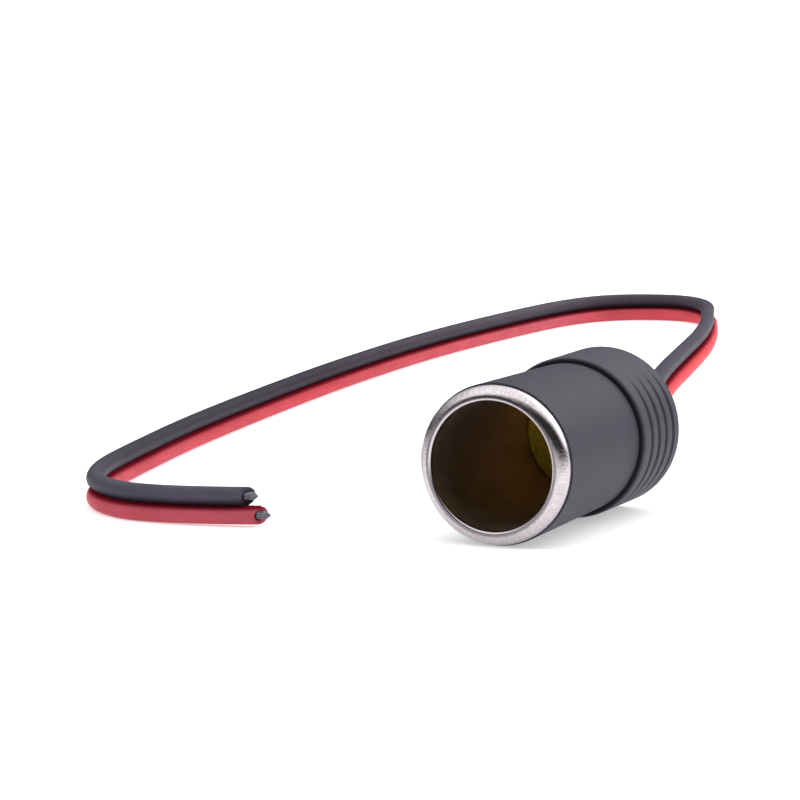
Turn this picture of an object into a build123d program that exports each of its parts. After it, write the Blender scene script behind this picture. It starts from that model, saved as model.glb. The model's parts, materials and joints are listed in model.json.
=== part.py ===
from build123d import *
import os
from math import asin, cos, degrees, radians, sin, sqrt, tan

# In-line car power socket: a rolled-lip steel shell in a moulded sleeve, closed by a ribbed
# rear cap, on a twin lead that lies behind it on the same surface.
# Sizes in millimetres. Depths are measured back from the mouth along the socket's axis.

# Bore that takes the plug
bore_diameter = 21.0
bore_depth = 38.5

# Sheet-steel shell
shell_wall = 0.5
mouth_roll = 0.5
lip_flare = 1.9
lip_side_roll = 3.0
lip_side_angle = 35.0
lip_edge_length = 0.1
shell_corner = 0.75
seat_taper = 0.2
seat_blend = 5.0

# Moulded sleeve
front_rim = 0.25
barrel_edge = 0.2
nose_length = 0.8
shoulder_step = 0.6
tail_wall = 0.95
tail_length = 11.0
tail_chamfer = 0.4

# Snap bead between the sleeve's tail and the cap
bead_height = 0.3
bead_half_width = 0.8
bead_from_shoulder = 6.0

# Ribbed rear cap
collar_step = 0.35
collar_length = 16.0
collar_front_round = 0.8
collar_rear_round = 0.5
cap_rear_wall = 1.6
press_ring_wall = 1.3
press_ring_inset = 0.2
groove_count = 4
groove_from_rear = 2.9
groove_pitch = 3.15
groove_width = 1.25
groove_depth = 0.5
groove_run_out_angle = 52.0

# Disc, contact rivet and insulator at the bottom of the bore
disc_thickness = 1.2
contact_shank_diameter = 4.0
contact_head_diameter = 6.8
contact_head_height = 1.4
contact_head_edge = 0.4
contact_tail_diameter = 5.8
contact_tail_height = 0.7
insulator_flange_diameter = 10.6
insulator_flange_thickness = 0.8
insulator_shoulder_diameter = 6.8

# Solder tags, the negative tag's rivet and the solder
tag_thickness = 0.5
tag_width = 3.0
positive_tag_eye_diameter = 6.6
negative_rivet_diameter = 1.0
negative_rivet_head_diameter = 1.5
negative_rivet_head_height = 0.5
solder_diameter = 2.8
solder_height = 1.7
solder_film = 0.2

# Twin lead and its bare ends
lead_diameter = 3.1
lead_gap = 0.1
lead_straight = 15.0
red_end_beyond = 2.0
core_diameter = 1.4
core_bend_inside = 0.2
core_stub = 0.1
wire_end_length = 1.8
wire_end_tip = 0.6

# Rubber grommet
grommet_wall = 1.2
grommet_inner_flange = 1.0
grommet_flange_overlap = 1.1
grommet_nose_length = 5.0
grommet_edge = 0.5

# Clearances
sliding_clearance = 0.05
nose_clearance = 0.15
disc_clearance = 0.1
rivet_clearance = 0.05
lead_clearance = 0.05
tag_clearance = 0.1
insulation_gap = 0.2
tag_air_gap = 0.6
lead_end_gap = 0.2
plug_stop_gap = 0.1

# Route of the twin lead after its straight stretch: x, y and height above its lying place
route = [
    (-5.3, 63.0, 10.3),
    (-16.3, 93.0, 9.2),
    (-29.8, 138.0, 7.0),
    (-45.8, 190.0, 4.5),
    (-61.8, 236.0, 1.7),
    (-70.5, 258.0, 0.7),
    (-77.9, 280.2, 0.0),
    (-89.0, 288.5, 0.0),
    (-103.5, 282.5, 0.0),
    (-110.0, 267.5, 0.0),
    (-112.0, 236.5, 0.0),
    (-112.0, 190.0, 0.0),
    (-107.5, 138.0, 0.0),
    (-101.0, 90.0, 0.0),
    (-94.5, 49.0, 0.0),
    (-87.7, 17.0, 0.0),
    (-82.3, -6.0, 0.0),
    (-74.5, -20.5, 0.0),
    (-61.0, -26.8, 0.0),
    (-44.6, -22.0, 0.3),
]
arc_share = 0.45

# Radii that several pieces share, from the bore outwards
bore_radius = bore_diameter / 2
shell_radius = bore_radius + shell_wall
lip_radius = shell_radius + lip_flare
sleeve_bore_radius = shell_radius + sliding_clearance
tail_radius = sleeve_bore_radius + tail_wall
barrel_rear_radius = tail_radius + shoulder_step
barrel_front_radius = lip_radius + front_rim
collar_radius = barrel_front_radius + collar_step
seat_radius = bore_radius - seat_taper
press_ring_radius = seat_radius + shell_wall / 2 - shell_corner - press_ring_inset
press_ring_inner_radius = press_ring_radius - press_ring_wall
shell_hole_radius = insulator_shoulder_diameter / 2 + rivet_clearance
contact_hole_radius = contact_shank_diameter / 2 + rivet_clearance
negative_hole_radius = negative_rivet_diameter / 2 + rivet_clearance
lead_spacing = lead_diameter + lead_gap
lead_slot_width = lead_diameter + 2 * lead_clearance
lead_slot_length = lead_spacing + lead_slot_width
grommet_neck_radius = lead_slot_length / 2 + grommet_wall

# The lip rolls back in two arcs, a tight one at its front and a wide one at its side
lip_side_turn = radians(lip_side_angle)
lip_front_span = lip_flare - mouth_roll - lip_side_roll * (1 - cos(lip_side_turn))
lip_front_roll = lip_front_span / cos(lip_side_turn)
lip_front_depth = shell_wall / 2 + lip_front_roll * (1 - sin(lip_side_turn))
lip_roll_depth = lip_front_depth + lip_side_roll * sin(lip_side_turn)
lip_depth = lip_roll_depth + lip_edge_length

# Depths, one piece behind the other from the bore's bottom to the cap's rear face
bottom_front = bore_depth + disc_thickness
bottom_back = bottom_front + shell_wall
negative_plate_back = bottom_back + tag_thickness
positive_tag_front = bottom_back + insulator_flange_thickness
positive_tag_back = positive_tag_front + tag_thickness
contact_end = positive_tag_back + contact_tail_height
negative_tip_back = contact_end + tag_air_gap + tag_thickness
black_core_depth = negative_tip_back + solder_film + core_diameter / 2
core_bend = core_diameter / 2 + core_bend_inside
lead_start = black_core_depth + core_bend + core_stub
grommet_front = lead_start + lead_end_gap
cap_inside = grommet_front + grommet_inner_flange
overall_length = cap_inside + cap_rear_wall
barrel_end = overall_length - collar_length

# Heights of the tags above and below the socket's axis
tag_bend = tag_thickness
negative_foot = insulator_flange_diameter / 2 + insulation_gap
negative_top = sqrt(press_ring_inner_radius**2 - (tag_width / 2) ** 2) - tag_clearance
negative_rivet_height = (negative_foot + 1.5 * tag_bend + negative_top) / 2
negative_flat_top = negative_foot - tag_bend / 2
negative_tip = negative_flat_top - solder_diameter - tag_clearance
tongue_height = -(contact_tail_diameter / 2 + insulation_gap + solder_diameter / 2)


def turned(profile):
    # Solid of revolution about the socket's axis; the profile's x is the radius, its y the depth
    return revolve(profile, Axis.Y)


def drum(radius, front, back):
    return turned(Pos(radius / 2, (front + back) / 2) * Rectangle(radius, back - front))


def offset_drum(radius, front, back, height):
    # Cylinder parallel to the socket's axis, at a height above it
    return Pos(0, 0, height) * drum(radius, front, back)


def socket_shell():
    # One sheet, drawn into a cup and rolled out at the mouth, traced along its middle line.
    # The wall draws in a little at the bottom, where it holds the disc and stops the plug.
    middle = shell_wall / 2
    lip_edge = Line((lip_radius - middle, lip_depth), (lip_radius - middle, lip_roll_depth))
    side_roll = JernArc(lip_edge @ 1, (0, -1), lip_side_roll, -lip_side_angle)
    front_roll = JernArc(side_roll @ 1, side_roll % 1, lip_front_roll, lip_side_angle - 90)
    inner_roll = JernArc(front_roll @ 1, (-1, 0), mouth_roll, -90)
    cup = FilletPolyline(
        inner_roll @ 1,
        (bore_radius + middle, bore_depth - contact_head_height - plug_stop_gap),
        (bore_radius + middle - seat_taper, bottom_front + middle),
        (shell_hole_radius, bottom_front + middle),
        radius=[seat_blend, shell_corner],
    )
    sheet = trace(lip_edge + side_roll + front_roll + inner_roll + cup, shell_wall)
    tag_hole = offset_drum(negative_hole_radius, bottom_front, bottom_back, negative_rivet_height)
    return turned(sheet) - tag_hole


def snap_ring(base_radius, half_width):
    # Round ring on the sleeve's tail, or the groove for it in the cap
    depth = barrel_end + bead_from_shoulder
    start = (base_radius, depth - half_width)
    end = (base_radius, depth + half_width)
    crown = ThreePointArc(start, (base_radius + bead_height, depth), end)
    inner = base_radius - bead_height
    return turned(make_face(crown + Polyline(end, (inner, end[1]), (inner, start[1]), start)))


def barrel_sleeve():
    tail_end = barrel_end + tail_length
    nose_radius = lip_radius - shell_wall - nose_clearance
    outline = Polyline(
        (sleeve_bore_radius, lip_depth - nose_length),
        (nose_radius, lip_depth - nose_length),
        (nose_radius, lip_depth),
        (barrel_front_radius - barrel_edge, lip_depth),
        (barrel_front_radius, lip_depth + barrel_edge),
        (barrel_rear_radius, barrel_end),
        (tail_radius, barrel_end),
        (tail_radius, tail_end - tail_chamfer),
        (tail_radius - tail_chamfer, tail_end),
        (sleeve_bore_radius, tail_end),
        close=True,
    )
    return turned(make_face(outline)) + snap_ring(tail_radius, bead_half_width)


def grip_grooves(side):
    # Round-bottomed grooves about an axis set off to the other side, so that each one is deepest
    # at the side and runs out smoothly towards the top and the bottom
    fall = collar_radius * (1 - cos(radians(groove_run_out_angle)))
    offset = (2 * collar_radius * groove_depth - groove_depth**2) / (2 * (fall - groove_depth))
    floor_radius = collar_radius - groove_depth + offset
    groove_radius = ((groove_width / 2) ** 2 + groove_depth**2) / (2 * groove_depth)
    ring = turned(Pos(floor_radius + groove_radius, 0) * Circle(groove_radius))
    last = overall_length - groove_from_rear
    return [Pos(-side * offset, last - groove_pitch * i, 0) * ring for i in range(groove_count)]


def rear_cap():
    inner_radius = tail_radius + sliding_clearance
    cup = drum(collar_radius, barrel_end, overall_length)
    cup = fillet(cup.edges().group_by(Axis.Y)[0], collar_front_round)
    cup = fillet(cup.edges().group_by(Axis.Y)[-1], collar_rear_round)
    cup -= drum(inner_radius, barrel_end, cap_inside)
    cup -= snap_ring(inner_radius, bead_half_width + sliding_clearance)
    press_ring = drum(press_ring_radius, bottom_back, cap_inside)
    cup += press_ring - drum(press_ring_inner_radius, bottom_back, cap_inside)
    cup -= drum(grommet_neck_radius + sliding_clearance, cap_inside, overall_length)
    return cup - grip_grooves(1) - grip_grooves(-1)


def insulator_disc():
    disc = drum(seat_radius - disc_clearance, bore_depth, bottom_front)
    corner = shell_corner - shell_wall / 2 + disc_clearance
    disc = chamfer(disc.edges().group_by(Axis.Y)[-1], corner)
    disc -= drum(contact_hole_radius, bore_depth, bottom_front)
    pocket_radius = negative_rivet_head_diameter / 2 + disc_clearance
    pocket_front = bottom_front - negative_rivet_head_height - disc_clearance
    return disc - offset_drum(pocket_radius, pocket_front, bottom_front, negative_rivet_height)


def centre_contact():
    # Rivet with a domed head in the bore and a clenched tail behind the tag
    head_radius = contact_head_diameter / 2
    shank_radius = contact_shank_diameter / 2
    crown = bore_depth - contact_head_height
    rim = (head_radius, bore_depth - contact_head_edge)
    dome = TangentArc((0, crown), rim, tangent=(1, 0))
    stem = Polyline(
        rim,
        (head_radius, bore_depth),
        (shank_radius, bore_depth),
        (shank_radius, positive_tag_back),
        (contact_tail_diameter / 2, positive_tag_back),
        (shank_radius, contact_end),
        (0, contact_end),
        (0, crown),
    )
    return turned(make_face(dome + stem))


def rear_insulator():
    washer = drum(insulator_flange_diameter / 2, bottom_back, positive_tag_front)
    washer += drum(insulator_shoulder_diameter / 2, bottom_front + rivet_clearance, bottom_back)
    return washer - drum(contact_hole_radius, bottom_front, positive_tag_front)


def positive_tag():
    # Flat tag: an eye round the rivet and a tongue with a round tip that hangs below it
    outline = Circle(positive_tag_eye_diameter / 2)
    outline += Pos(0, tongue_height / 2) * Rectangle(tag_width, -tongue_height)
    outline += Pos(0, tongue_height) * Circle(tag_width / 2)
    outline -= Circle(contact_hole_radius)
    face = Plane((0, positive_tag_back, 0), x_dir=(1, 0, 0), z_dir=(0, -1, 0)) * outline
    return extrude(face, tag_thickness)


def negative_tag():
    # Sheet strip in a Z: flat on the shell's bottom, back from it, then in towards the black lead
    middle = tag_thickness / 2
    side_plane = Plane((-tag_width / 2, 0, 0), x_dir=(0, 1, 0), z_dir=(1, 0, 0))
    line = FilletPolyline(
        (bottom_back + middle, negative_top),
        (bottom_back + middle, negative_foot + middle),
        (negative_tip_back - middle, negative_foot + middle),
        (negative_tip_back - middle, negative_tip),
        radius=tag_bend,
    )
    strip = extrude(side_plane * trace(line, tag_thickness), tag_width)
    height = negative_rivet_height
    return strip - offset_drum(negative_hole_radius, bottom_back, negative_plate_back, height)


def negative_rivet():
    head = negative_rivet_head_diameter / 2
    height = negative_rivet_height
    front = bottom_front - negative_rivet_head_height
    back = negative_plate_back + negative_rivet_head_height
    rivet = offset_drum(negative_rivet_diameter / 2, bottom_front, negative_plate_back, height)
    rivet += offset_drum(head, front, bottom_front, height)
    return rivet + offset_drum(head, negative_plate_back, back, height)


def swept_rod(path, diameter):
    end = Plane(origin=path @ 0, z_dir=path % 0)
    return sweep(end * Circle(diameter / 2), path=path)


def core_path(*points):
    # Bare core inside the cap, through points given as depth and height
    return FilletPolyline(*[(0, depth, height) for depth, height in points], radius=core_bend)


def red_core_path():
    # From the lead's end down and forward onto the positive tag's tongue
    height = -lead_spacing / 2
    landing = (positive_tag_back + core_diameter / 2, tongue_height - core_diameter / 4)
    return core_path((lead_start, height), (lead_start - core_diameter, height), landing)


def black_core_path():
    # From the lead's end, then up along the negative tag's tip
    height = lead_spacing / 2
    end = (black_core_depth, negative_foot - tag_thickness)
    return core_path((lead_start, height), (black_core_depth, height), end)


def solder_joint(depth, height, core):
    # Dome of solder on the tag, run round the core
    spread = solder_diameter / 2
    foot = solder_height - spread
    dome = CenterArc((0, foot), spread, 0, 90)
    edges = Polyline((0, solder_height), (0, 0), (spread, 0), (spread, foot))
    return Pos(0, depth, height) * turned(make_face(dome + edges)) - core


def cable_grommet():
    # Rubber bush with a flange on each side of the cap's rear wall and a tapered nose behind it
    flange_radius = grommet_neck_radius + grommet_flange_overlap
    nose_end = overall_length + grommet_nose_length
    outline = Polyline(
        (0, grommet_front),
        (flange_radius - grommet_edge, grommet_front),
        (flange_radius, grommet_front + grommet_edge),
        (flange_radius, cap_inside),
        (grommet_neck_radius, cap_inside),
        (grommet_neck_radius, overall_length),
        (flange_radius, overall_length),
        (flange_radius, overall_length + grommet_edge),
        (grommet_neck_radius, nose_end - grommet_edge),
        (grommet_neck_radius - grommet_edge, nose_end),
        (0, nose_end),
        close=True,
    )
    slot = SlotOverall(lead_slot_length, lead_slot_width, rotation=90)
    slot_face = Plane((0, nose_end, 0), x_dir=(1, 0, 0), z_dir=(0, -1, 0)) * slot
    return turned(make_face(outline)) - extrude(slot_face, nose_end - grommet_front)


def resting_seat(sleeve, cap):
    # Lays the socket down on the front edges of its barrel and collar, over the origin
    span = barrel_end + collar_front_round - lip_depth - barrel_edge
    tilt = degrees(asin(collar_step / span))
    lean = Rot(X=tilt) * Pos(0, -overall_length / 2, 0)
    lowest = min((lean * piece).bounding_box().min.Z for piece in (sleeve, cap))
    return Pos(0, 0, -lowest) * lean


def lead_points(seat, rise, beyond):
    # Out of the grommet along the axis, then along the route at this lead's height
    points = []
    for depth in (lead_start, overall_length + lead_straight):
        points.append((seat * Pos(0, depth, rise)).position)
    lying_height = lead_diameter + lead_gap / 2
    for x, y, height in route:
        points.append(Vector(x, y, lying_height + height + rise))
    last_run = (points[-1] - points[-2]).normalized()
    points[-1] = points[-1] + last_run * beyond
    return points


def lead_path(points):
    # Straight runs joined by arcs as large as the shorter run beside each corner allows
    radii = []
    for before, corner, after in zip(points, points[1:], points[2:]):
        run_in = corner - before
        run_out = after - corner
        half_turn = radians(run_in.get_angle(run_out)) / 2
        radii.append(arc_share * min(run_in.length, run_out.length) / tan(half_turn))
    print("lead radii", [round(radius, 1) for radius in radii])
    return FilletPolyline(*points, radius=radii)


def wire_end(path):
    # Tinned strands that stand out of the cut end, pinched to a blunt point
    upright = (Align.CENTER, Align.CENTER, Align.MIN)
    stub_length = wire_end_length - wire_end_tip
    stub = Cylinder(core_diameter / 2, stub_length, align=upright)
    point = Cone(core_diameter / 2, core_diameter / 6, wire_end_tip, align=upright)
    return Plane(origin=path @ 1, z_dir=path % 1) * (stub + Pos(0, 0, stub_length) * point)


def build():
    sleeve = barrel_sleeve()
    cap = rear_cap()
    seat = resting_seat(sleeve, cap)
    red_core = swept_rod(red_core_path(), core_diameter)
    black_core = swept_rod(black_core_path(), core_diameter)
    tip_height = (negative_tip + negative_flat_top) / 2
    pieces = {
        "barrel_sleeve": sleeve,
        "rear_cap": cap,
        "socket_shell": socket_shell(),
        "insulator_disc": insulator_disc(),
        "centre_contact": centre_contact(),
        "rear_insulator": rear_insulator(),
        "positive_tag": positive_tag(),
        "negative_tag": negative_tag(),
        "negative_rivet": negative_rivet(),
        "red_inner_core": red_core,
        "black_inner_core": black_core,
        "positive_solder": solder_joint(positive_tag_back, tongue_height, red_core),
        "negative_solder": solder_joint(negative_tip_back, tip_height, black_core),
        "cable_grommet": cable_grommet(),
    }
    pieces = {name: seat * piece for name, piece in pieces.items()}
    red_path = lead_path(lead_points(seat, -lead_spacing / 2, red_end_beyond))
    black_path = lead_path(lead_points(seat, lead_spacing / 2, 0))
    for colour, path in (("red", red_path), ("black", black_path)):
        pieces[colour + "_lead"] = swept_rod(path, lead_diameter)
        pieces[colour + "_wire_end"] = wire_end(path)
        print(colour, "lead length", round(path.length, 1))
    return pieces


os.makedirs("parts", exist_ok=True)
for name, piece in build().items():
    export_step(piece, f"parts/{name}.step")
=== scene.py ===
import json
import math
import bmesh
import bpy
from mathutils import Matrix, Vector


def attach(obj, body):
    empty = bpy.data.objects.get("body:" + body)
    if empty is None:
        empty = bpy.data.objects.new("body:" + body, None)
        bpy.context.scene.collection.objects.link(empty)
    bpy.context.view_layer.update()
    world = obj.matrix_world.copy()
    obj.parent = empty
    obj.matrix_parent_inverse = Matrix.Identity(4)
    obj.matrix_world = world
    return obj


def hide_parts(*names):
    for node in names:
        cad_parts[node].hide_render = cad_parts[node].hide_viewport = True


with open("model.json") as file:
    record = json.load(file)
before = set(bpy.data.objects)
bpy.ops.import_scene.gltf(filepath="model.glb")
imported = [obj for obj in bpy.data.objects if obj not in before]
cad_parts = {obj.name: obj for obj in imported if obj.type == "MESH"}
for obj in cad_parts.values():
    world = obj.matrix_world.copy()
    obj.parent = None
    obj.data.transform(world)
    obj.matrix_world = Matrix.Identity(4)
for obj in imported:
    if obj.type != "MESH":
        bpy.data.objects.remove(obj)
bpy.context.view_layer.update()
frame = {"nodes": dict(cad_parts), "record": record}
mm = 0.001
hairline = 0.001 * mm  # points nearer than this are one
fineDepth = 0.02 * mm  # height of the finest surface marks
markDepth = 0.05 * mm  # and of the coarser ones
mounts = {mount["name"]: mount for mount in frame["record"]["mounts"]}
print("frame loaded,", len(frame["nodes"]), "nodes")


# camera where the photo was taken from: low, to the right of the mouth, with a long lens
camera = {
    "place": (0.2429, -0.5682, 0.1045),
    "look": (-0.4255, 0.8949, -0.1342),
    "lens": 171.0,
    "sensor": 36.0,
    "nearest": 0.01,  # nothing nearer than this is drawn
}


def placeCamera():
    eye = bpy.data.objects.new("photoCamera", bpy.data.cameras.new("photoCamera"))
    eye.data.lens = camera["lens"]
    eye.data.sensor_width = camera["sensor"]
    eye.data.clip_start = camera["nearest"]
    eye.location = camera["place"]
    eye.rotation_euler = Vector(camera["look"]).to_track_quat("-Z", "Y").to_euler()
    bpy.context.scene.collection.objects.link(eye)
    bpy.context.scene.camera = eye


placeCamera()
print("camera placed")


# the socket's own seat: x across, y back from the mouth, z up
boreMountDepth = 19.0 * mm  # the plug bore's mount lies this far behind the mouth


def socketSeat():
    bore = mounts["plug_bore"]
    back = -Vector(bore["axis"]).normalized()
    across = Vector((1, 0, 0))
    seat = Matrix((across, back, across.cross(back))).transposed().to_4x4()
    seat.translation = Vector(bore["pos_m"]) - back * boreMountDepth
    return seat


seat = socketSeat()


def finishMesh(name, shape, place=None):
    bmesh.ops.recalc_face_normals(shape, faces=shape.faces)
    mesh = bpy.data.meshes.new(name)
    shape.to_mesh(mesh)
    shape.free()
    mesh.shade_smooth()
    piece = bpy.data.objects.new(name, mesh)
    bpy.context.scene.collection.objects.link(piece)
    if place is not None:
        piece.matrix_world = place
    return piece


def evenShading(piece):
    piece.modifiers.new("evenShading", "WEIGHTED_NORMAL").keep_sharp = True
    return piece


def settle(piece, solid, material):
    # the piece takes the place of its solid, on the one body that there is
    piece.data.materials.append(material)
    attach(piece, "root")
    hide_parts(solid)
    return piece


def roundedLoop(corners, arcSteps=6):
    # closed outline from corners given as radius, depth and rounding, in millimetres
    loop = []
    for index, (radius, depth, rounding) in enumerate(corners):
        corner = Vector((radius, depth))
        if rounding == 0:
            loop.append(corner * mm)
            continue
        before = (Vector(corners[index - 1][:2]) - corner).normalized()
        after = (Vector(corners[(index + 1) % len(corners)][:2]) - corner).normalized()
        halfAngle = before.angle(after) / 2
        reach = rounding / math.tan(halfAngle)
        middle = corner + (before + after).normalized() * rounding / math.sin(halfAngle)
        start = corner + before * reach - middle
        end = corner + after * reach - middle
        first = math.atan2(start.y, start.x)
        sweep = (math.atan2(end.y, end.x) - first + math.pi) % (2 * math.pi) - math.pi
        for step in range(arcSteps + 1):
            angle = first + sweep * step / arcSteps
            spoke = Vector((math.cos(angle), math.sin(angle)))
            loop.append((middle + spoke * rounding) * mm)
    return loop


def turnedPiece(name, loop, segments, radiusAt=None):
    # outline turned about the socket's axis; radiusAt may change the radius round the turn
    shape = bmesh.new()
    rings = []
    for step in range(segments):
        angle = 2 * math.pi * step / segments
        ring = []
        for point in loop:
            radius = radiusAt(point, angle) if radiusAt else point.x
            ring.append(shape.verts.new((radius * math.cos(angle), point.y, radius * math.sin(angle))))
        rings.append(ring)
    for ring, following in zip(rings, rings[1:] + rings[:1]):
        for index in range(len(loop)):
            shape.faces.new((ring[index - 1], ring[index], following[index], following[index - 1]))
    bmesh.ops.remove_doubles(shape, verts=shape.verts, dist=hairline)
    return evenShading(finishMesh(name, shape, seat))


# small helpers for the materials' nodes
def node(tree, kind, values=None, **settings):
    made = tree.nodes.new("ShaderNode" + kind)
    for name, value in settings.items():
        setattr(made, name, value)
    for name, value in (values or {}).items():
        if isinstance(value, bpy.types.NodeSocket):
            tree.links.new(value, made.inputs[name])
        else:
            made.inputs[name].default_value = value
    return made


def startMaterial(name):
    material = bpy.data.materials.new(name)
    material.use_nodes = True
    return material, material.node_tree, material.node_tree.nodes["Principled BSDF"]


def objectPlace(tree):
    return node(tree, "TexCoord").outputs["Object"]


def stretched(tree, place, scale):
    return node(tree, "Mapping", {"Vector": place, "Scale": scale}).outputs["Vector"]


wholeGrain = (0.3, 0.7)  # nearly all of a noise lies between these values
midGrain = (0.35, 0.65)  # and most of it between these


def grain(tree, place, scale, detail=4.0, roughness=0.55):
    values = {"Vector": place, "Scale": scale, "Detail": detail, "Roughness": roughness}
    return node(tree, "TexNoise", values).outputs["Fac"]


def spread(tree, value, fromLow, fromHigh, toLow, toHigh, smooth=False):
    values = {"Value": value, "From Min": fromLow, "From Max": fromHigh, "To Min": toLow, "To Max": toHigh}
    kind = "SMOOTHSTEP" if smooth else "LINEAR"
    return node(tree, "MapRange", values, interpolation_type=kind).outputs["Result"]


def between(tree, value, low, high, smooth=False):
    # none below the low value, all above the high one
    return spread(tree, value, low, high, 0.0, 1.0, smooth)


def mixedColour(tree, share, first, second):
    mix = node(tree, "Mix", data_type="RGBA")  # its colours are inputs 6 and 7, and output 2
    tree.links.new(share, mix.inputs[0])
    for socket, colour in ((mix.inputs[6], first), (mix.inputs[7], second)):
        if isinstance(colour, bpy.types.NodeSocket):
            tree.links.new(colour, socket)
        else:
            socket.default_value = (*colour, 1.0)
    return mix.outputs[2]


def mixedValue(tree, share, first, second):
    return node(tree, "Mix", {0: share, 2: first, 3: second}).outputs[0]  # plain values are inputs 2 and 3


def sums(tree, operation, first, second):
    made = node(tree, "Math", operation=operation)
    for socket, value in zip(made.inputs, (first, second)):
        if isinstance(value, bpy.types.NodeSocket):
            tree.links.new(value, socket)
        else:
            socket.default_value = value
    return made.outputs["Value"]


def bumped(tree, height, strength, distance, under=None):
    values = {"Height": height, "Strength": strength, "Distance": distance}
    if under is not None:
        values["Normal"] = under
    return node(tree, "Bump", values).outputs["Normal"]


def dress(tree, shader, **sockets):
    names = {
        "colour": "Base Color",
        "roughness": "Roughness",
        "shine": "Specular IOR Level",
        "normal": "Normal",
        "metal": "Metallic",
    }
    for name, socket in sockets.items():
        tree.links.new(socket, shader.inputs[names[name]])


# twin lead: red under black, joined by a thin web into a figure of eight
twinLead = {
    "diameter": 3.1 * mm,
    "gap": 0.1 * mm,
    "startDepth": 45.2 * mm,  # inside the cap
    "exitDepth": 53.0 * mm,  # end of the grommet's nose
    "straightDepth": 63.0 * mm,  # where the lead leaves the socket's axis
    "redBeyond": 2.0 * mm,
    "length": 0.64,
    "webWidth": 0.8 * mm,
    "endRounding": 0.22 * mm,
    "endTurns": (0.0, 30.0, 60.0, 90.0),  # degrees round the cut end's edge
    "cutSlope": 0.85,  # the cutters came in aslant, so the far side is longer
    "coreRadius": 0.8 * mm,
    "coreRecess": 0.6 * mm,
    "arcSteps": 26,
    "splineOrder": 3,
    "splineSteps": 14,
    # x, y and height above the lying place after the straight stretch, and the pair's lean in degrees
    "route": [
        (-0.0065, 0.0630, 0.0103, 16.0),
        (-0.0164, 0.0930, 0.0092, 16.0),
        (-0.0299, 0.1380, 0.0070, 21.0),
        (-0.0456, 0.1900, 0.0045, 18.5),
        (-0.0617, 0.2360, 0.0017, 15.0),
        (-0.0701, 0.2580, 0.0007, 18.0),
        (-0.0784, 0.2802, 0.0, 8.0),
        (-0.0890, 0.2881, 0.0, -13.0),
        (-0.1035, 0.2825, 0.0, -8.0),
        (-0.1100, 0.2675, 0.0, 0.0),
        (-0.1120, 0.2365, 0.0, 0.0),
        (-0.1120, 0.1900, 0.0, 0.0),
        (-0.1075, 0.1380, 0.0, 0.0),
        (-0.1010, 0.0900, 0.0, 0.0),
        (-0.0945, 0.0490, 0.0, 0.0),
        (-0.0877, 0.0170, 0.0, 0.0),
        (-0.0823, -0.0060, 0.0, 0.0),
        (-0.0745, -0.0205, 0.0, 0.0),
        (-0.0610, -0.0268, 0.0, 0.0),
        (-0.0446, -0.0220, 0.0003, 0.0),
    ],
}
upwards = Vector((0, 0, 1))


def aheadAt(line, index):
    return (line[min(index + 1, len(line) - 1)] - line[max(index - 1, 0)]).normalized()


def leadRoute(side, beyond):
    # control points of one lead, on its own side of the pair's middle
    lyingHeight = twinLead["diameter"] + twinLead["gap"] / 2
    middle = [seat @ Vector((0, twinLead[depth], 0)) for depth in ("startDepth", "straightDepth")]
    leans = [0.0] * len(middle)
    for x, y, height, lean in twinLead["route"]:
        middle.append(Vector((x, y, lyingHeight + height)))
        leans.append(math.radians(lean))
    points = []
    for index, (place, lean) in enumerate(zip(middle, leans)):
        sideways = aheadAt(middle, index).cross(upwards).normalized()
        upright = sideways.cross(aheadAt(middle, index))
        rise = side * (twinLead["diameter"] + twinLead["gap"]) / 2
        points.append(place + (upright * math.cos(lean) - sideways * math.sin(lean)) * rise)
    points[-1] += aheadAt(points, len(points) - 1) * beyond
    return points


def smoothLine(name, points):
    # points read from a spline that has the route's points as its control points
    curve = bpy.data.curves.new(name, "CURVE")
    curve.dimensions = "3D"
    spline = curve.splines.new("NURBS")
    spline.points.add(len(points) - 1)
    for control, place in zip(spline.points, points):
        control.co = (*place, 1.0)
    spline.order_u = twinLead["splineOrder"]
    spline.use_endpoint_u = True
    spline.resolution_u = twinLead["splineSteps"]
    carrier = bpy.data.objects.new(name, curve)
    wire = bpy.data.meshes.new_from_object(carrier)
    line = [vertex.co.copy() for vertex in wire.vertices]
    bpy.data.objects.remove(carrier)
    bpy.data.curves.remove(curve)
    bpy.data.meshes.remove(wire)
    return line


def leadSection():
    # round insulation with a narrow flat web on the side towards the other lead
    radius = twinLead["diameter"] / 2
    half = twinLead["webWidth"] / 2
    webAngle = math.asin(half / radius)
    section = []
    for step in range(twinLead["arcSteps"] + 1):
        angle = math.pi / 2 + webAngle + (2 * math.pi - 2 * webAngle) * step / twinLead["arcSteps"]
        section.append(Vector((math.cos(angle), math.sin(angle))) * radius)
    reach = radius + twinLead["gap"] / 2
    return section + [Vector((half, reach)), Vector((-half, reach))]


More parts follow.
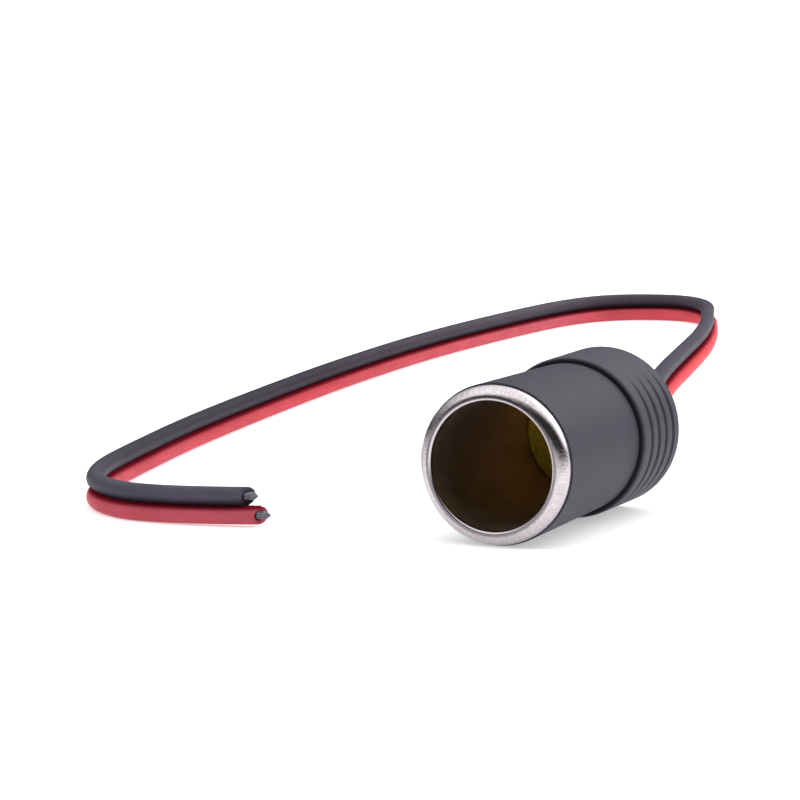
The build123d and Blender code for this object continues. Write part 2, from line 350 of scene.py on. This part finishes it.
def leadTube(name, line, twinLine):
    section = leadSection()
    core = [corner.normalized() * twinLead["coreRadius"] for corner in section]
    stations = []  # place, sideways, towards the other lead, outline, how far the cut leans
    for index, place in enumerate(line):
        ahead = aheadAt(line, index)
        towards = twinLine[index] - place
        towards = (towards - ahead * towards.dot(ahead)).normalized()
        stations.append((place, ahead.cross(towards), towards, section, 0.0))
    last, sideways, towards = stations[-1][:3]
    ahead = aheadAt(line, len(line) - 1)
    level = ahead.cross(upwards).normalized()
    longest = twinLead["cutSlope"] * twinLead["diameter"]
    while (last - stations[-1][0]).length < longest:
        stations.pop()
    # cut end: the slanted face with a rounded edge, then in round the strands
    shrink = 1 - 2 * twinLead["endRounding"] / twinLead["diameter"]
    stations.append((last - ahead * longest, sideways, towards, section, 0.0))
    for turn in twinLead["endTurns"]:
        backed = 1 - math.sin(math.radians(turn))
        size = shrink + (1 - shrink) * math.cos(math.radians(turn))
        edge = [corner * size for corner in section]
        place = last - ahead * twinLead["endRounding"] * backed
        stations.append((place, sideways, towards, edge, twinLead["cutSlope"]))
    stations.append((last, sideways, towards, core, twinLead["cutSlope"]))
    stations.append((last - ahead * twinLead["coreRecess"], sideways, towards, core, twinLead["cutSlope"]))
    shape = bmesh.new()
    onLead = shape.verts.layers.float_vector.new("leadPlace")
    rings = []
    along = 0.0
    for index, (place, across, up, outline, slope) in enumerate(stations):
        if index:
            along += (place - stations[index - 1][0]).length
        ring = []
        for corner in outline:
            spoke = across * corner.x + up * corner.y
            vert = shape.verts.new(place + spoke - ahead * slope * spoke.dot(level))
            vert[onLead] = (*(corner / twinLead["diameter"]), along)
            ring.append(vert)
        rings.append(ring)
    for ring, following in zip(rings, rings[1:]):
        for index in range(len(section)):
            shape.faces.new((ring[index - 1], ring[index], following[index], following[index - 1]))
    shape.faces.new(rings[0])
    shape.faces.new(rings[-1])
    return evenShading(finishMesh(name, shape))


# tinned strands that stand out of each cut end
strands = {
    "radius": 0.135 * mm,
    "rows": ((0.0, 1), (0.27 * mm, 6), (0.54 * mm, 12)),  # distance from the middle, strands in the row
    "inside": 0.5 * mm,
    "length": 1.75 * mm,
    "tip": 0.7 * mm,  # the last stretch, pinched together
    "tipShare": 0.3,
    "tipCurve": 1.6,
    "tipThickness": 0.55,
    "uneven": 0.12 * mm,  # how much longer or shorter a strand may be
    "unevenTurns": (5.3, 2.1),  # steps of the wave that spreads the lengths: by strand, by twistStart
    "twist": 0.55,  # radians for each millimetre
    "twistStart": {"red": 1.0, "black": 3.0},
    "steps": 12,
    "sides": 8,
}


def strandBundle(name, line, twistStart):
    place = line[-1]
    ahead = aheadAt(line, len(line) - 1)
    sideways = ahead.cross(upwards).normalized()
    upright = sideways.cross(ahead)
    whole = strands["inside"] + strands["length"]
    onward, startTurn = strands["unevenTurns"]
    shape = bmesh.new()
    for distance, count in strands["rows"]:
        for number in range(count):
            start = 2 * math.pi * number / count + twistStart
            uneven = strands["uneven"] * math.sin(onward * number + startTurn * twistStart)
            rings = []
            for step in range(strands["steps"] + 1):
                along = (whole + uneven) * step / strands["steps"]
                left = max(0.0, along - whole + strands["tip"]) / strands["tip"]
                pinch = 1 - (1 - strands["tipShare"]) * min(left, 1.0) ** strands["tipCurve"]
                angle = start + strands["twist"] * along / mm
                centre = place + ahead * (along - strands["inside"])
                centre += (sideways * math.cos(angle) + upright * math.sin(angle)) * distance * pinch
                thick = strands["radius"] * (1.0 if step < strands["steps"] else strands["tipThickness"])
                ring = []
                for corner in range(strands["sides"]):
                    turn = 2 * math.pi * corner / strands["sides"]
                    spoke = sideways * math.cos(turn) + upright * math.sin(turn)
                    ring.append(shape.verts.new(centre + spoke * thick))
                rings.append(ring)
            for ring, following in zip(rings, rings[1:]):
                for corner in range(strands["sides"]):
                    quad = (ring[corner - 1], ring[corner], following[corner], following[corner - 1])
                    shape.faces.new(quad)
            shape.faces.new(rings[0])
            shape.faces.new(rings[-1])
    return finishMesh(name, shape)


# soft vinyl of the leads, faintly lined along its length by the extruder
vinyl = {
    "lines": (9.0, 9.0, 60.0),  # across the lead both ways, and along it
    "lineScale": 3.0,
    "lineBump": 0.12,
    "clouds": (1.0, 1.0, 90.0),
    "cloudScale": 1.5,
    "darkest": 0.84,  # what the darkest clouds leave of the colour
    "roughness": (0.42, 0.54),
    "index": 1.48,
    "shine": 0.06,
}
redVinyl = {
    # metres along the lead and the colour there, lighter and darker along it as painted light and shade
    "paintedLightStretches": [
        (0.20, (0.82, 0.050, 0.064)),
        (0.32, (0.64, 0.110, 0.138)),
        (0.46, (0.62, 0.052, 0.068)),
        (0.57, (0.58, 0.065, 0.085)),
        (0.63, (0.56, 0.100, 0.130)),
    ],
    "seamShade": (0.20, 0.008, 0.018),  # painted shade beside the other lead
    "seamShadeFrom": 0.20,  # in diameters from the lead's middle
    "seamShadeTo": 0.43,
}
blackVinyl = {
    # metres along the lead and the colour there, lighter and darker along it as painted light and shade
    "paintedLightStretches": [
        (0.20, (0.064, 0.055, 0.076)),
        (0.32, (0.078, 0.067, 0.083)),
        (0.46, (0.026, 0.019, 0.033)),
        (0.57, (0.036, 0.032, 0.042)),
        (0.63, (0.092, 0.088, 0.120)),
    ],
    # painted shade on the side towards the other lead
    "seamShade": (0.020, 0.013, 0.019),
    "seamShadeFrom": -0.05,
    "seamShadeTo": 0.42,
}


def vinylMaterial(name, look):
    material, tree, shader = startMaterial(name)
    place = node(tree, "Attribute", attribute_name="leadPlace").outputs["Vector"]
    onLead = node(tree, "SeparateXYZ", {"Vector": place}).outputs
    lines = grain(tree, stretched(tree, place, vinyl["lines"]), vinyl["lineScale"])
    clouds = grain(tree, stretched(tree, place, vinyl["clouds"]), vinyl["cloudScale"], detail=3.0)
    # the lead's colour along its length, with its painted light and shade
    ramp = node(tree, "ValToRGB", {"Fac": sums(tree, "DIVIDE", onLead["Z"], twinLead["length"])})
    stops = ramp.color_ramp.elements
    stops.remove(stops[1])
    for number, (reach, colour) in enumerate(look["paintedLightStretches"]):
        share = reach / twinLead["length"]
        stop = stops.new(share) if number else stops[0]
        stop.position = share
        stop.color = (*colour, 1.0)
    uneven = spread(tree, clouds, *midGrain, vinyl["darkest"], 1.0)
    plain = node(tree, "HueSaturation", {"Color": ramp.outputs["Color"], "Value": uneven}).outputs["Color"]
    # painted shade near the other lead, where its shadow falls, with the shine taken away there too
    seamShade = between(tree, onLead["Y"], look["seamShadeFrom"], look["seamShadeTo"], smooth=True)
    dress(
        tree,
        shader,
        colour=mixedColour(tree, seamShade, plain, look["seamShade"]),
        roughness=spread(tree, lines, *wholeGrain, *vinyl["roughness"]),
        shine=spread(tree, seamShade, 0.0, 1.0, vinyl["shine"], 0.0),
        normal=bumped(tree, lines, vinyl["lineBump"], markDepth),
    )
    shader.inputs["IOR"].default_value = vinyl["index"]
    return material


# tin over copper strands, dulled in patches
tinCoat = {
    "bright": (0.27, 0.26, 0.29),
    "dull": (0.15, 0.145, 0.16),
    "roughness": (0.40, 0.58),
    "patches": 1400.0,
    "patchRange": (0.35, 0.6),  # values of the noise from dull to bright
    "fine": 9000.0,
    "bump": 0.25,
}


def tinMaterial():
    material, tree, shader = startMaterial("tinnedStrands")
    place = objectPlace(tree)
    patches = grain(tree, place, tinCoat["patches"])
    fine = grain(tree, place, tinCoat["fine"], detail=2.0)
    bright = between(tree, patches, *tinCoat["patchRange"])
    dress(
        tree,
        shader,
        colour=mixedColour(tree, bright, tinCoat["dull"], tinCoat["bright"]),
        roughness=spread(tree, patches, *wholeGrain, *reversed(tinCoat["roughness"])),
        normal=bumped(tree, fine, tinCoat["bump"], fineDepth),
    )
    shader.inputs["Metallic"].default_value = 1.0
    return material


tin = tinMaterial()


# rubber grommet: flange behind the cap's rear wall and a tapered nose with soft edges
grommet = {
    "slotLength": 6.4 * mm,
    "slotWidth": 3.2 * mm,
    "slotMark": 1.0,  # corners at this radius belong to the slot's wall
    "corners": [
        (1.0, 45.4, 0),
        (5.5, 45.4, 0.4),
        (5.5, 46.4, 0.08),
        (4.4, 46.4, 0.05),
        (4.4, 48.0, 0.05),
        (5.5, 48.0, 0.12),
        (5.5, 48.7, 0.45),
        (4.62, 49.5, 1.2),
        (4.4, 53.0, 0.5),
        (1.0, 53.0, 0),
    ],
    "segments": 128,
    "colour": (0.020, 0.020, 0.022),
    "dust": (0.045, 0.044, 0.046),
    "roughness": (0.62, 0.8),
    "clouds": 500.0,
    "dustRange": (0.4, 0.75),  # values of the noise from clean to dusty
    "fine": 7000.0,
    "bump": 0.2,
}


def slotRadius(angle):
    # distance from the axis to the wall of the upright slot that both leads pass through
    half = grommet["slotWidth"] / 2
    middle = (grommet["slotLength"] - grommet["slotWidth"]) / 2
    across = abs(math.cos(angle))
    up = abs(math.sin(angle))
    if across * middle > up * half:
        return half / across
    return middle * up + math.sqrt(half**2 - (middle * across) ** 2)


def grommetRadius(point, angle):
    onSlot = point.x < grommet["slotMark"] * mm + hairline
    return slotRadius(angle) if onSlot else point.x


def rubberMaterial():
    material, tree, shader = startMaterial("mattRubber")
    place = objectPlace(tree)
    clouds = grain(tree, place, grommet["clouds"])
    fine = grain(tree, place, grommet["fine"], detail=3.0)
    dusty = between(tree, clouds, *grommet["dustRange"])
    dress(
        tree,
        shader,
        colour=mixedColour(tree, dusty, grommet["colour"], grommet["dust"]),
        roughness=spread(tree, fine, *wholeGrain, *grommet["roughness"]),
        normal=bumped(tree, fine, grommet["bump"], fineDepth),
    )
    return material


grommetLoop = roundedLoop(grommet["corners"])
grommetPiece = turnedPiece("rubberGrommet", grommetLoop, grommet["segments"], grommetRadius)
settle(grommetPiece, "cable_grommet", rubberMaterial())


def makeLead(colour, line, twinLine, look):
    lead = leadTube(colour + "Lead", line, twinLine)
    settle(lead, colour + "_lead", vinylMaterial(colour + "Vinyl", look))
    wires = strandBundle(colour + "Strands", line, strands["twistStart"][colour])
    settle(wires, colour + "_wire_end", tin)


redLine = smoothLine("redLine", leadRoute(-1, twinLead["redBeyond"]))
blackLine = smoothLine("blackLine", leadRoute(1, 0.0))
makeLead("red", redLine, blackLine, redVinyl)
makeLead("black", blackLine, redLine, blackVinyl)
print("leads laid")


# sheet-steel shell with the rolled lip
shell = {
    "corners": [
        (12.9, 2.517, 0.08),
        (12.9, 1.25, 2.1),  # wide roll at the lip's side
        (11.851, 0.0, 1.85),  # tighter roll at its front
        (10.5, 0.0, 0.44),
        (10.5, 37.0, 5.0),
        (10.3, 39.7, 0.5),
        (3.45, 39.7, 0.1),
        (3.45, 40.2, 0.1),
        (10.8, 40.2, 1.0),
        (11.0, 37.0, 5.0),
        (11.0, 0.5, 0.25),
        (11.665, 0.5, 0.797),
        (12.4, 1.55, 2.75),
        (12.4, 2.517, 0.08),
    ],
    "arcSteps": 20,
    "segments": 240,
    "plate": (0.64, 0.59, 0.61),
    "plateDull": (0.40, 0.36, 0.375),
    "ring": (0.20, 0.18, 0.19),  # painted dark reflection, as a dull ring along the front of the roll
    "paintedRingFrom": (10.83 * mm, 10.95 * mm),
    "paintedRingTo": (11.15 * mm, 11.5 * mm),
    "bore": (0.28, 0.205, 0.15),
    "boreDull": (0.20, 0.145, 0.11),
    "boreDeep": (0.66, 0.45, 0.42),  # warm with the laminate's light
    "deepFrom": 8.0 * mm,
    "deepTo": 34.0 * mm,
    "boreFrom": 0.5 * mm,
    "boreTo": 1.6 * mm,
    "roughness": (0.07, 0.15),
    "boreRoughness": 0.42,
    "boreMetal": 0.85,
    "boreRadius": (11.2 * mm, 11.3 * mm),  # inside of this is bore, outside is lip
    "streaks": 120.0,  # fine short streaks round the lip
    "streakRise": 48.0,  # how soon they change outwards
    "streakBump": 0.5,
    "jagged": 0.2 * mm,  # how far the streaks break up the ring's edge
    "clouds": 260.0,
    "pits": 5200.0,
    "pitBump": 0.06,
}


def platedMaterial():
    material, tree, shader = startMaterial("satinPlate")
    place = objectPlace(tree)
    parts = node(tree, "SeparateXYZ", {"Vector": place}).outputs
    flat = node(tree, "CombineXYZ", {"X": parts["X"], "Z": parts["Z"]}).outputs["Vector"]
    radius = node(tree, "VectorMath", {0: flat}, operation="LENGTH").outputs["Value"]
    clock = node(tree, "VectorMath", {0: flat}, operation="NORMALIZE").outputs["Vector"]
    rise = sums(tree, "MULTIPLY", sums(tree, "SUBTRACT", radius, parts["Y"]), shell["streakRise"])
    outward = node(tree, "CombineXYZ", {"Y": rise}).outputs["Vector"]
    streakPlace = node(tree, "VectorMath", {0: clock, 1: outward}, operation="ADD").outputs["Vector"]
    streaks = grain(tree, streakPlace, shell["streaks"], detail=5.0, roughness=0.65)
    clouds = grain(tree, place, shell["clouds"], detail=3.0)
    pits = grain(tree, place, shell["pits"], detail=2.0)
    deep = between(tree, parts["Y"], shell["boreFrom"], shell["boreTo"], smooth=True)
    inner = spread(tree, radius, *shell["boreRadius"], 1.0, 0.0)
    inBore = sums(tree, "MULTIPLY", deep, inner)
    plate = mixedColour(tree, between(tree, streaks, *midGrain), shell["plateDull"], shell["plate"])
    shift = spread(tree, streaks, *wholeGrain, -shell["jagged"], shell["jagged"])
    jagged = sums(tree, "ADD", radius, shift)
    # painted dark reflection: a dull ring along the front of the roll, its outer edge broken by the
    # streaks
    paintedRingStart = between(tree, radius, *shell["paintedRingFrom"], smooth=True)
    paintedRingEnd = spread(tree, jagged, *shell["paintedRingTo"], 1.0, 0.0, smooth=True)
    plate = mixedColour(tree, sums(tree, "MULTIPLY", paintedRingStart, paintedRingEnd), plate, shell["ring"])
    bore = mixedColour(tree, between(tree, clouds, *midGrain), shell["boreDull"], shell["bore"])
    warm = between(tree, parts["Y"], shell["deepFrom"], shell["deepTo"])
    bore = mixedColour(tree, warm, bore, shell["boreDeep"])
    satin = spread(tree, streaks, *wholeGrain, *reversed(shell["roughness"]))
    normal = bumped(tree, streaks, shell["streakBump"], markDepth)
    dress(
        tree,
        shader,
        colour=mixedColour(tree, inBore, plate, bore),
        roughness=mixedValue(tree, inBore, satin, shell["boreRoughness"]),
        normal=bumped(tree, pits, shell["pitBump"], fineDepth, normal),
        metal=spread(tree, inBore, 0.0, 1.0, 1.0, shell["boreMetal"]),
    )
    return material


shellLoop = roundedLoop(shell["corners"], shell["arcSteps"])
shellPiece = turnedPiece("platedShell", shellLoop, shell["segments"])
settle(shellPiece, "socket_shell", platedMaterial())
print("shell turned")


# satin surface that the sleeve and the cap share
moulding = {
    "clouds": 130.0,
    "draw": 900.0,
    "drawStretch": (1.0, 0.05, 1.0),  # long lines along the draw
    "spark": 5200.0,
    "wornRange": (0.38, 0.62),  # values of the noise from plain to worn
    "bump": 0.10,
    "roughness": (0.46, 0.56),
    "index": 1.46,
    "shine": 0.12,
}

# moulded sleeve round the shell
sleeve = {
    "corners": [
        (11.05, 1.717, 0.1),
        (12.25, 1.717, 0.1),
        (12.25, 2.517, 0),
        (13.15, 2.517, 0.2),
        (12.6, 32.0, 0.15),
        (12.0, 32.0, 0.05),
        (12.0, 43.0, 0.3),
        (11.05, 43.0, 0.1),
    ],
    "segments": 240,
    "colour": (0.0445, 0.0415, 0.055),
    "worn": (0.054, 0.0505, 0.065),
}

# ribbed cap behind it: four grooves on each side that run out towards top and bottom
cap = {
    "radius": 13.5,  # this and the grooves in millimetres, as the corners are
    "corners": [
        (12.05, 32.0, 0.05),
        (13.5, 32.0, 0.8),
        (13.5, 48.0, 0.5),
        (4.45, 48.0, 0.1),
        (4.45, 46.4, 0.1),
        (8.3, 46.4, 0.1),
        (8.3, 40.2, 0.1),
        (9.6, 40.2, 0.1),
        (9.6, 46.4, 0.1),
        (12.05, 46.4, 0.1),
    ],
    "rowStep": 0.09 * mm,
    "segments": 288,
    "grooves": 4,
    "lastGroove": 45.1,
    "pitch": 3.15,
    "width": 1.25,
    "depth": 0.5,
    "runOut": 52.0,  # degrees from the side to where a groove ends
    "edge": 0.06,  # rounding where a groove meets the outside
    "gap": (0.012, 0.010, 0.015),  # painted shade where the cap's front meets the sleeve
    "gapDepth": (32.05 * mm, 32.4 * mm),
    "colour": (0.055, 0.0515, 0.066),
    "worn": (0.066, 0.062, 0.078),
}


def mouldedMaterial(name, look):
    # satin moulding: fine spark grain, soft clouds and faint lines along the draw
    material, tree, shader = startMaterial(name)
    place = objectPlace(tree)
    clouds = grain(tree, place, moulding["clouds"], detail=3.0)
    draw = grain(tree, stretched(tree, place, moulding["drawStretch"]), moulding["draw"])
    spark = grain(tree, place, moulding["spark"], detail=3.0)
    both = sums(tree, "MULTIPLY", sums(tree, "ADD", draw, clouds), 0.5)  # half of each
    worn = between(tree, both, *moulding["wornRange"])
    colour = mixedColour(tree, worn, look["colour"], look["worn"])
    # painted shade in the step where the cap's front meets the sleeve
    if "gap" in look:
        depth = node(tree, "SeparateXYZ", {"Vector": place}).outputs["Y"]
        pastStepShade = between(tree, depth, *look["gapDepth"], smooth=True)
        colour = mixedColour(tree, pastStepShade, look["gap"], colour)
    dress(
        tree,
        shader,
        colour=colour,
        roughness=spread(tree, both, *midGrain, *moulding["roughness"]),
        normal=bumped(tree, spark, moulding["bump"], fineDepth),
    )
    shader.inputs["IOR"].default_value = moulding["index"]
    shader.inputs["Specular IOR Level"].default_value = moulding["shine"]
    return material


def addRows(loop, radius, step):
    # more points along the straight stretch at this radius, for the grooves
    finer = []
    for point, following in zip(loop, loop[1:] + loop[:1]):
        finer.append(point)
        onOutside = min(point.x, following.x) > radius - hairline
        count = int((following - point).length / step) if onOutside else 1
        finer += [point.lerp(following, share / count) for share in range(1, count)]
    return finer


def groovedRadius(point, angle):
    # the groove's floor is a circle set off to the other side, so it is deepest at the side
    radius = cap["radius"]
    outside = point.x / mm
    if outside < radius - hairline / mm:
        return point.x
    fall = radius * (1 - math.cos(math.radians(cap["runOut"])))
    offset = (2 * radius * cap["depth"] - cap["depth"] ** 2) / (2 * (fall - cap["depth"]))
    floorRadius = radius - cap["depth"] + offset
    across = abs(math.cos(angle))
    deep = radius + offset * across - math.sqrt(floorRadius**2 - (offset * math.sin(angle)) ** 2)
    grooveRadius = ((cap["width"] / 2) ** 2 + cap["depth"] ** 2) / (2 * cap["depth"])
    cut = -1.0
    for number in range(cap["grooves"]):
        along = point.y / mm - cap["lastGroove"] + cap["pitch"] * number
        if abs(along) < grooveRadius:
            cut = max(cut, deep - grooveRadius + math.sqrt(grooveRadius**2 - along**2))
    return (outside - (cut + math.hypot(cut, cap["edge"])) / 2) * mm


sleevePiece = turnedPiece("mouldedSleeve", roundedLoop(sleeve["corners"]), sleeve["segments"])
settle(sleevePiece, "barrel_sleeve", mouldedMaterial("satinSleeve", sleeve))
capLoop = addRows(roundedLoop(cap["corners"]), cap["radius"] * mm, cap["rowStep"])
capPiece = turnedPiece("ribbedCap", capLoop, cap["segments"], groovedRadius)
settle(capPiece, "rear_cap", mouldedMaterial("satinCap", cap))
print("sleeve and cap turned")


# pieces that keep their solids: the disc, the contact and what the cap hides
laminate = {
    "colour": (0.66, 0.56, 0.030),
    "dark": (0.50, 0.42, 0.022),
    "roughness": 0.6,
    "shine": 0.2,
    "fibres": 2600.0,
    "fibreStretch": 0.12,
    "fibreRange": (0.45, 0.7),  # values of the noise from dark resin to fibre
    "bump": 0.15,
}
sheetMetal = {
    "patches": 420.0,
    "patchRange": (0.35, 0.6),  # values of the noise from dull to bright
    "scratches": 5200.0,
    "scratchStretch": (1.0, 0.08, 1.0),
    "bump": 0.12,
}
brass = {"colour": (0.80, 0.60, 0.26), "dull": (0.48, 0.34, 0.15), "roughness": (0.26, 0.44)}
plainPlate = {"colour": (0.70, 0.68, 0.68), "dull": (0.46, 0.44, 0.44), "roughness": (0.24, 0.42)}


def laminateMaterial():
    # pressed paper laminate: fine crossed fibres in olive resin
    material, tree, shader = startMaterial("oliveLaminate")
    place = objectPlace(tree)
    long = laminate["fibreStretch"]
    across = grain(tree, stretched(tree, place, (1.0, 1.0, long)), laminate["fibres"])
    upright = grain(tree, stretched(tree, place, (long, 1.0, 1.0)), laminate["fibres"])
    fibres = sums(tree, "MAXIMUM", across, upright)
    bare = between(tree, fibres, *laminate["fibreRange"])
    dress(
        tree,
        shader,
        colour=mixedColour(tree, bare, laminate["dark"], laminate["colour"]),
        normal=bumped(tree, fibres, laminate["bump"], fineDepth),
    )
    shader.inputs["Roughness"].default_value = laminate["roughness"]
    shader.inputs["Specular IOR Level"].default_value = laminate["shine"]
    return material


def sheetMetalMaterial(name, look):
    # stamped and turned metal, dulled in patches and finely scratched
    material, tree, shader = startMaterial(name)
    place = objectPlace(tree)
    patches = grain(tree, place, sheetMetal["patches"])
    along = stretched(tree, place, sheetMetal["scratchStretch"])
    scratches = grain(tree, along, sheetMetal["scratches"], detail=2.0)
    bright = between(tree, patches, *sheetMetal["patchRange"])
    dress(
        tree,
        shader,
        colour=mixedColour(tree, bright, look["dull"], look["colour"]),
        roughness=spread(tree, scratches, *wholeGrain, *look["roughness"]),
        normal=bumped(tree, scratches, sheetMetal["bump"], fineDepth),
    )
    shader.inputs["Metallic"].default_value = 1.0
    return material


def finishSolids(material, names):
    for name in names:
        solid = frame["nodes"][name]
        if not solid.material_slots:
            solid.data.materials.append(None)
        for slot in solid.material_slots:
            slot.material = material


finishSolids(laminateMaterial(), ["insulator_disc", "rear_insulator"])
finishSolids(sheetMetalMaterial("dullBrass", brass), ["centre_contact", "positive_tag", "negative_tag"])
finishSolids(sheetMetalMaterial("plainPlate", plainPlate), ["negative_rivet"])
finishSolids(tin, ["red_inner_core", "black_inner_core", "positive_solder", "negative_solder"])
print("inner pieces finished")


# white floor under a bright dome, with what else stands round the table
studio = {
    "floorSize": 12.0,
    "floorFront": -0.22,  # the table ends just in front of the picture
    "floorColour": (0.90, 0.90, 0.905),
    "floorGlow": 0.45,  # a light table under white paper
    "floorRoughness": 0.9,
    "floorShine": 0.1,
    "horizon": (0.08, 0.08, 0.09),
    "zenith": (1.60, 1.60, 1.63),
    "riseFrom": 0.18,  # heights, as sines of their angles, between which the dome grows bright
    "riseTo": 0.82,
    "background": 1.0,  # brightness of the white behind the table
}

# towards: degrees to the right of the front and degrees up
# edge: degrees from the patch's middle to its outer and its inner edge
whiteScreen = {"towards": (-38.0, 48.0), "flat": 0.7, "edge": (32.0, 14.0), "light": (1.7, 1.7, 1.74)}
softLamp = {"towards": (146.0, 34.0), "flat": 1.2, "edge": (40.0, 18.0), "light": (2.8, 2.8, 2.88)}
darkRoom = {"towards": (38.0, 0.0), "flat": 1.6, "edge": (70.0, 58.0), "light": (0.04, 0.04, 0.045)}


def layFloor():
    half = studio["floorSize"] / 2
    shape = bmesh.new()
    front = studio["floorFront"]
    corners = ((-half, front, 0), (half, front, 0), (half, half, 0), (-half, half, 0))
    shape.faces.new([shape.verts.new(corner) for corner in corners])
    floor = finishMesh("paleFloor", shape)
    material, tree, shader = startMaterial("paleFloor")
    shader.inputs["Base Color"].default_value = (*studio["floorColour"], 1.0)
    shader.inputs["Roughness"].default_value = studio["floorRoughness"]
    shader.inputs["Specular IOR Level"].default_value = studio["floorShine"]
    shader.inputs["Emission Color"].default_value = (*studio["floorColour"], 1.0)
    shader.inputs["Emission Strength"].default_value = studio["floorGlow"]
    floor.data.materials.append(material)


def lightStudio():
    world = bpy.data.worlds.new("lightTent")
    world.use_nodes = True
    tree = world.node_tree
    tree.nodes.clear()
    outwards = node(tree, "TexCoord").outputs["Generated"]
    height = node(tree, "SeparateXYZ", {"Vector": outwards}).outputs["Z"]
    share = between(tree, height, studio["riseFrom"], studio["riseTo"])
    light = mixedColour(tree, share, studio["horizon"], studio["zenith"])
    for patch in (whiteScreen, softLamp, darkRoom):
        turn, rise = (math.radians(angle) for angle in patch["towards"])
        middle = Vector((math.sin(turn), -math.cos(turn), math.tan(rise) * patch["flat"])).normalized()
        flattened = stretched(tree, outwards, (1.0, 1.0, patch["flat"]))
        flattened = node(tree, "VectorMath", {0: flattened}, operation="NORMALIZE").outputs["Vector"]
        nearness = node(tree, "VectorMath", {0: flattened, 1: middle}, operation="DOT_PRODUCT")
        edge = [math.cos(math.radians(angle)) for angle in patch["edge"]]
        within = between(tree, nearness.outputs["Value"], *edge, smooth=True)
        light = mixedColour(tree, within, light, patch["light"])
    tent = node(tree, "Background", {"Color": light})
    plain = node(tree, "Background", {"Strength": studio["background"], "Color": (1.0, 1.0, 1.0, 1.0)})
    seen = node(tree, "LightPath").outputs["Is Camera Ray"]
    mix = node(tree, "MixShader", {0: seen, 1: tent.outputs[0], 2: plain.outputs[0]})
    node(tree, "OutputWorld", {"Surface": mix.outputs[0]})
    bpy.context.scene.world = world
    bpy.context.scene.view_settings.view_transform = "Standard"


layFloor()
lightStudio()
print("studio lit")
